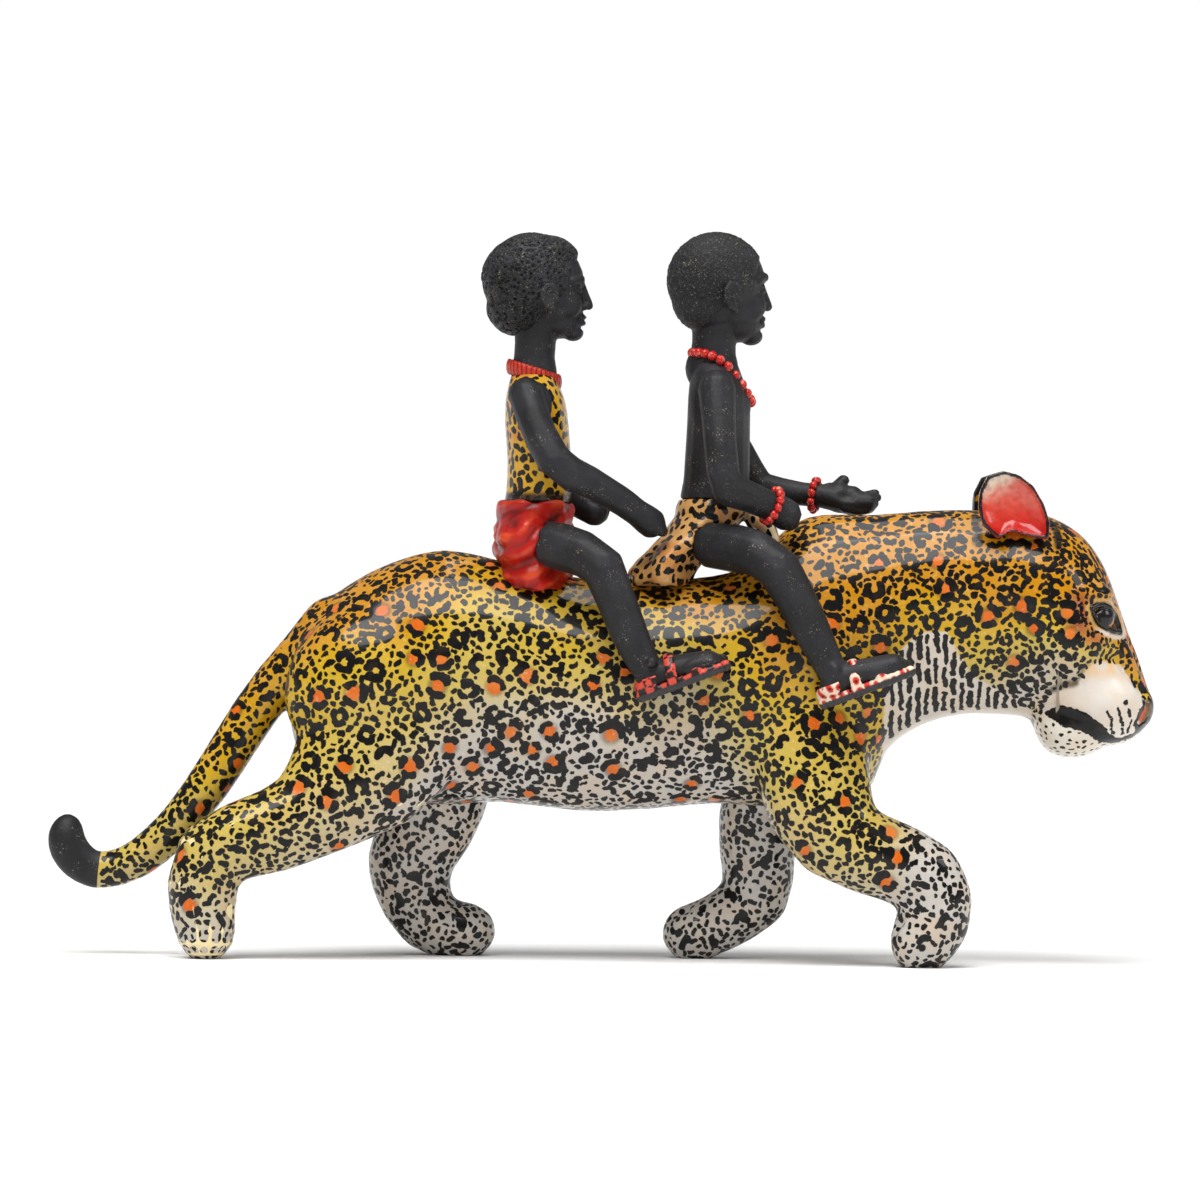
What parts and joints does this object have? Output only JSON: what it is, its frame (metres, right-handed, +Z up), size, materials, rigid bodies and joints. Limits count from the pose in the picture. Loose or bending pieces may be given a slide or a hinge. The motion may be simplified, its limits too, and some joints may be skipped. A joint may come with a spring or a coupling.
{
  "type": "ceramic leopard figure with two seated riders",
  "caption": "Free-standing glazed ceramic figure: a striding leopard, tail low and curled up, carrying two seated child riders on its back.",
  "frame": {"origin": "centre of the overall bounding box on the shelf plane under the paws", "axes": "+X the way the leopard walks, +Y to its left, +Z up"},
  "size_m": [0.621, 0.1504, 0.4093],
  "materials": {
    "spotted_glaze": "glossy clear glaze over ochre and cream with black spots",
    "muzzle_glaze": "glossy cream glaze with black whisker dashes",
    "nose_glaze": "glossy black glaze with red nostrils",
    "eye_glaze": "glossy amber and black glaze",
    "ear_glaze": "glossy red to cream glaze with a black rim",
    "tail_tip_black": "matte black",
    "red_check_sandal": "satin red and black straps on a dark sole",
    "cream_dot_sandal": "satin cream straps with dots on a dark sole",
    "spotted_top": "satin yellow glaze with black spots",
    "red_collar": "satin red glaze",
    "red_wrap": "satin red glaze",
    "spotted_cloth": "satin tan glaze with black spots",
    "red_beads": "glossy red glaze",
    "black_hair": "matte black, pitted",
    "black_skin": "matte charcoal black"
  },
  "bodies": {
    "root": {"body_rear": "spotted_glaze", "body_front": "spotted_glaze", "head": "spotted_glaze", "muzzle": "muzzle_glaze", "lower_jaw": "muzzle_glaze", "nose": "nose_glaze", "eye_right": "eye_glaze", "eye_left": "eye_glaze", "ear_right": "ear_glaze", "ear_left": "ear_glaze", "leg_front_right": "spotted_glaze", "leg_front_left": "spotted_glaze", "leg_hind_right": "spotted_glaze", "leg_hind_left": "spotted_glaze", "tail": "spotted_glaze", "tail_tip": "tail_tip_black", "rear_rider_head": "black_skin", "rear_rider_hair": "black_hair", "rear_rider_ear_right": "black_skin", "rear_rider_ear_left": "black_skin", "rear_rider_collar": "red_collar", "rear_rider_torso": "spotted_top", "rear_rider_arm_right": "black_skin", "rear_rider_arm_left": "black_skin", "rear_rider_shorts": "red_wrap", "rear_rider_leg_right": "black_skin", "rear_rider_leg_left": "black_skin", "rear_rider_sandal_right": "red_check_sandal", "rear_rider_sandal_left": "red_check_sandal", "front_rider_head": "black_skin", "front_rider_ear_right": "black_skin", "front_rider_ear_left": "black_skin", "front_rider_necklace": "red_beads", "front_rider_torso": "black_skin", "front_rider_arm_right": "black_skin", "front_rider_arm_left": "black_skin", "front_rider_bracelet_right": "red_beads", "front_rider_bracelet_left": "red_beads", "front_rider_loincloth": "spotted_cloth", "front_rider_leg_right": "black_skin", "front_rider_leg_left": "black_skin", "front_rider_sandal_right": "cream_dot_sandal", "front_rider_sandal_left": "cream_dot_sandal"}
  },
  "joints": []
}
